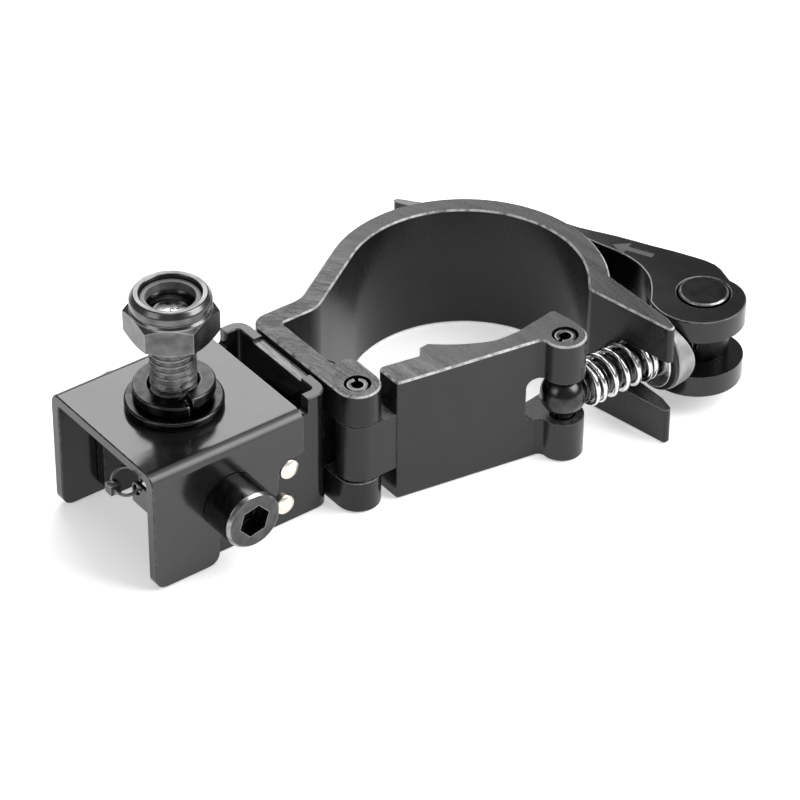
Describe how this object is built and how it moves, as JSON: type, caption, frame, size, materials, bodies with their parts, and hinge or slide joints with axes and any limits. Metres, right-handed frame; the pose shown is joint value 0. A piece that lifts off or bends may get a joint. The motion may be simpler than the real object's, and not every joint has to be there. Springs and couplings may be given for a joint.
{
  "type": "pipe clamp",
  "caption": "Quick-release pipe clamp for stage lighting: hinged jaw, sprung swing bolt with cam lever, and a swivelling folded bracket with a bolt and lock nut.",
  "frame": {"origin": "on the clamped tube's axis, at the lower saw-cut face of the body", "axes": "+Z along the tube, +X from the bracket towards the cam lever, +Y towards the closed side of the ring"},
  "size_m": [0.1462, 0.0798, 0.0564],
  "materials": {
    "clamp_body": "black anodised aluminium extrusion, saw-cut ends",
    "hinge_pin_left": "dark steel spring pin",
    "swivel_bolt": "black steel hexagon bolt",
    "swivel_nut": "zinc plated lock nut",
    "swivel_nut_insert": "nylon ring",
    "jaw": "black anodised aluminium extrusion, saw-cut ends",
    "hinge_pin_right": "dark steel spring pin",
    "eye_bolt": "dark steel eye bolt",
    "cam_barrel": "black steel barrel nut",
    "tension_spring": "bright zinc plated spring wire",
    "thrust_washer": "zinc plated washer",
    "nylon_washer": "black nylon washer",
    "saddle": "grey die-cast saddle, matt",
    "cam_lever": "black satin painted cam lever",
    "inner_bracket": "glossy black folded sheet",
    "stop_pin_upper": "bare steel stop pin",
    "stop_pin_lower": "bare steel stop pin",
    "outer_bracket": "glossy black folded sheet",
    "tilt_screw": "black socket head screw",
    "tilt_nut": "zinc plated lock nut",
    "tilt_nut_insert": "nylon ring",
    "yoke_bolt": "steel hexagon bolt",
    "flat_washer": "black steel washer",
    "spring_washer": "black split spring washer",
    "ring_lug": "black lug",
    "wire_ring": "dark wire ring with a sleeve",
    "yoke_nut": "zinc plated lock nut",
    "yoke_nut_insert": "nylon ring"
  },
  "bodies": {
    "body": {"clamp_body": "clamp_body", "hinge_pin_left": "hinge_pin_left", "swivel_bolt": "swivel_bolt", "swivel_nut": "swivel_nut", "swivel_nut_insert": "swivel_nut_insert"},
    "jaw": {"jaw": "jaw", "hinge_pin_right": "hinge_pin_right"},
    "swing": {"eye_bolt": "eye_bolt", "cam_barrel": "cam_barrel", "tension_spring": "tension_spring"},
    "saddle_stack": {"thrust_washer": "thrust_washer", "nylon_washer": "nylon_washer", "saddle": "saddle"},
    "lever": {"cam_lever": "cam_lever"},
    "swivel_bracket": {"inner_bracket": "inner_bracket", "stop_pin_upper": "stop_pin_upper", "stop_pin_lower": "stop_pin_lower"},
    "tilt_bracket": {"outer_bracket": "outer_bracket", "tilt_screw": "tilt_screw", "tilt_nut": "tilt_nut", "tilt_nut_insert": "tilt_nut_insert", "yoke_bolt": "yoke_bolt", "flat_washer": "flat_washer", "spring_washer": "spring_washer", "ring_lug": "ring_lug", "wire_ring": "wire_ring"},
    "nut_carrier": {"yoke_nut_insert": "yoke_nut_insert"},
    "nut": {"yoke_nut": "yoke_nut"}
  },
  "joints": [
    {"name": "jaw_hinge", "type": "hinge", "parent": "body", "child": "jaw", "pos_m": [-0.0411, -0.0166, 0.015], "axis": [0, 0, -1], "range_deg": [0, 60]},
    {"name": "bolt_swing", "type": "hinge", "parent": "jaw", "child": "swing", "pos_m": [0.0037, -0.0286, 0.015], "axis": [0, 0, -1], "range_deg": [0, 120]},
    {"name": "saddle_slide", "type": "slide", "parent": "swing", "child": "saddle_stack", "axis": [-1, 0, 0], "range_m": [0, 0.0012], "stiffness_N_per_m": 1500, "springref_m": -0.004, "deforming": ["tension_spring"]},
    {"name": "cam_lever_hinge", "type": "hinge", "parent": "swing", "child": "lever", "pos_m": [0.0418, -0.0286, 0.015], "axis": [0, 0, -1], "range_deg": [0, 140]},
    {"name": "bracket_swivel", "type": "hinge", "parent": "body", "child": "swivel_bracket", "pos_m": [-0.0488, 0.0015, 0.015], "axis": [1, 0, 0], "range_deg": [-90, 90]},
    {"name": "bracket_tilt", "type": "hinge", "parent": "swivel_bracket", "child": "tilt_bracket", "pos_m": [-0.0734, 0.0015, 0.015], "axis": [0, -1, 0], "range_deg": [0, 50]},
    {"name": "nut_travel", "type": "slide", "parent": "tilt_bracket", "child": "nut_carrier", "axis": [0, 0, -1], "range_m": [0, 0.0105]},
    {"name": "nut_turn", "type": "hinge", "parent": "nut_carrier", "child": "nut", "pos_m": [-0.074, 0.0015, 0.05], "axis": [0, 0, -1], "range_deg": [0, 2520]}
  ],
  "couplings": [
    {"joint": "bolt_swing", "follows": "jaw_hinge", "ratio": 2},
    {"joint": "nut_turn", "follows": "nut_travel", "rad_per_m": 4188.8}
  ]
}
